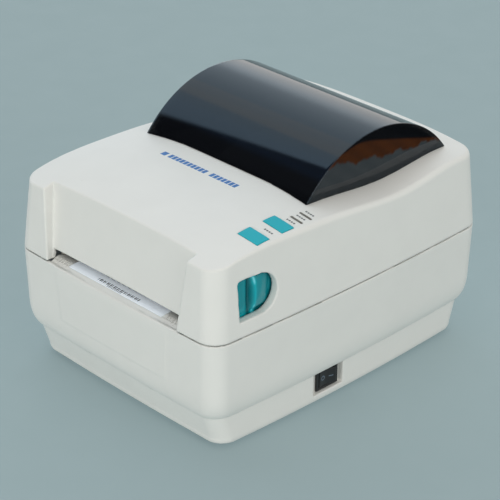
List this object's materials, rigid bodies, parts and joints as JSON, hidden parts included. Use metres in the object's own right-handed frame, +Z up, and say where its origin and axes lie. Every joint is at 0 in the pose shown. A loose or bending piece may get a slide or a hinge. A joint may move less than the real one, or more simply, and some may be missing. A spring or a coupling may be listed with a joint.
{
  "type": "thermal label printer",
  "caption": "Desktop direct-thermal label printer with a hinged cover, arched smoked roll window, teal keys and latches, front label slot and side power switch.",
  "frame": {"origin": "centre of the bounding box on the floor, under the feet", "axes": "+X to the printer's right seen from its front, -Y out of the front where the labels leave, +Z up"},
  "size_m": [0.226, 0.2964, 0.1953],
  "materials": {
    "white_plastic": "fine matt moulded shell plastic, warm white",
    "grey_plastic": "moulded grey inner plastic",
    "black_plastic": "satin black plastic",
    "teal_plastic": "glossy teal plastic",
    "smoked_window": "glossy smoked see-through plastic",
    "clear_lens": "milky light-pipe plastic",
    "rubber": "black rubber",
    "steel": "zinc-plated and drawn steel",
    "aluminium": "extruded aluminium",
    "ceramic": "alumina print line carrier",
    "circuit_board": "green solder resist",
    "nylon": "natural acetal",
    "paper": "coated label stock",
    "cardboard": "wound board core"
  },
  "bodies": {
    "root": {"base_pan": "white_plastic", "lower_shell": "white_plastic", "foot_front_left": "rubber", "foot_front_right": "rubber", "foot_rear_left": "rubber", "foot_rear_right": "rubber", "base_screw_1": "steel", "base_screw_2": "steel", "base_screw_3": "steel", "base_screw_4": "steel", "media_bay": "grey_plastic", "front_chassis": "steel", "platen_bushing_right": "nylon", "platen_bushing_left": "nylon", "stepper_motor": "steel", "idler_stud": "steel", "main_board": "circuit_board", "usb_socket": "steel", "dc_jack": "black_plastic", "serial_socket": "steel", "switch_housing": "black_plastic", "label_sensor": "black_plastic", "catch_pin_right": "steel", "catch_pin_left": "steel", "hinge_pin_right": "steel", "hinge_pin_left": "steel", "label_web": "paper"},
    "cover": {"top_cover": "white_plastic", "window": "smoked_window", "cover_liner": "grey_plastic", "button_board": "circuit_board", "error_lens": "clear_lens", "power_lens": "clear_lens", "tear_bar": "steel", "latch_spring": "steel", "head_spring_right": "steel", "head_spring_left": "steel"},
    "printhead": {"printhead_bracket": "steel", "printhead_heatsink": "aluminium", "printhead_substrate": "ceramic"},
    "latch": {"latch_lever_right": "teal_plastic", "latch_lever_left": "teal_plastic", "latch_shaft": "steel"},
    "feed_key": {"feed_button": "teal_plastic"},
    "pause_key": {"pause_button": "teal_plastic"},
    "rocker": {"power_rocker": "black_plastic"},
    "platen": {"platen_roller": "rubber", "platen_shaft": "steel", "platen_gear": "nylon"},
    "idler": {"idler_gear": "nylon"},
    "motor_rotor": {"motor_pinion": "nylon", "motor_shaft": "steel"},
    "holder_right": {"media_holder_right": "grey_plastic"},
    "holder_left": {"media_holder_left": "grey_plastic"},
    "guide": {"guide_pinion": "nylon"},
    "hub_right": {"roll_hub_right": "grey_plastic"},
    "hub_left": {"roll_hub_left": "grey_plastic"},
    "roll": {"label_roll": "paper", "roll_core": "cardboard"}
  },
  "joints": [
    {"name": "cover_hinge", "type": "hinge", "parent": "root", "child": "cover", "pos_m": [0, 0.14375, 0.094], "axis": [-1, 0, 0], "range_deg": [0, 90]},
    {"name": "printhead_float", "type": "slide", "parent": "cover", "child": "printhead", "axis": [0, 0, 1], "range_m": [0, 0.0015], "stiffness_N_per_m": 3000, "springref_m": -0.003, "deforming": ["head_spring_right", "head_spring_left"]},
    {"name": "latch_pull", "type": "hinge", "parent": "cover", "child": "latch", "pos_m": [0, -0.10475, 0.112], "axis": [1, 0, 0], "range_deg": [0, 14], "stiffness_Nm_per_rad": 0.3, "springref_deg": -17.19},
    {"name": "feed_press", "type": "slide", "parent": "cover", "child": "feed_key", "axis": [0, 0, -1], "range_m": [0, 0.001], "stiffness_N_per_m": 500, "springref_m": -0.0008},
    {"name": "pause_press", "type": "slide", "parent": "cover", "child": "pause_key", "axis": [0, 0, -1], "range_m": [0, 0.001], "stiffness_N_per_m": 500, "springref_m": -0.0008},
    {"name": "rocker_tilt", "type": "hinge", "parent": "root", "child": "rocker", "pos_m": [0.0975, -0.02475, 0.0189], "axis": [0, 0, 1], "range_deg": [0, 16]},
    {"name": "platen_spin", "type": "hinge", "parent": "root", "child": "platen", "pos_m": [0, -0.12275, 0.0886], "axis": [1, 0, 0], "continuous": true},
    {"name": "idler_spin", "type": "hinge", "parent": "root", "child": "idler", "pos_m": [-0.073, -0.11056, 0.07403], "axis": [1, 0, 0], "continuous": true},
    {"name": "motor_spin", "type": "hinge", "parent": "root", "child": "motor_rotor", "pos_m": [-0.073, -0.10395, 0.056], "axis": [1, 0, 0], "continuous": true},
    {"name": "holder_right_slide", "type": "slide", "parent": "root", "child": "holder_right", "axis": [1, 0, 0], "range_m": [0, 0.009]},
    {"name": "holder_left_slide", "type": "slide", "parent": "root", "child": "holder_left", "axis": [-1, 0, 0], "range_m": [0, 0.009]},
    {"name": "guide_spin", "type": "hinge", "parent": "root", "child": "guide", "pos_m": [0, 0.04325, 0.02], "axis": [0, 0, 1], "range_deg": [-65, 0]},
    {"name": "roll_spin", "type": "hinge", "parent": "root", "child": "roll", "pos_m": [0, 0.04325, 0.088], "axis": [1, 0, 0], "continuous": true},
    {"name": "hub_right_spin", "type": "hinge", "parent": "holder_right", "child": "hub_right", "pos_m": [0.05, 0.04325, 0.088], "axis": [1, 0, 0], "continuous": true},
    {"name": "hub_left_spin", "type": "hinge", "parent": "holder_left", "child": "hub_left", "pos_m": [-0.05, 0.04325, 0.088], "axis": [1, 0, 0], "continuous": true}
  ],
  "couplings": [
    {"joint": "idler_spin", "follows": "platen_spin", "ratio": -1.7143},
    {"joint": "motor_spin", "follows": "platen_spin", "ratio": 5.1429},
    {"joint": "holder_left_slide", "follows": "holder_right_slide", "ratio": 1},
    {"joint": "guide_spin", "follows": "holder_right_slide", "rad_per_m": -125},
    {"joint": "hub_right_spin", "follows": "roll_spin", "ratio": 1},
    {"joint": "hub_left_spin", "follows": "roll_spin", "ratio": 1}
  ]
}
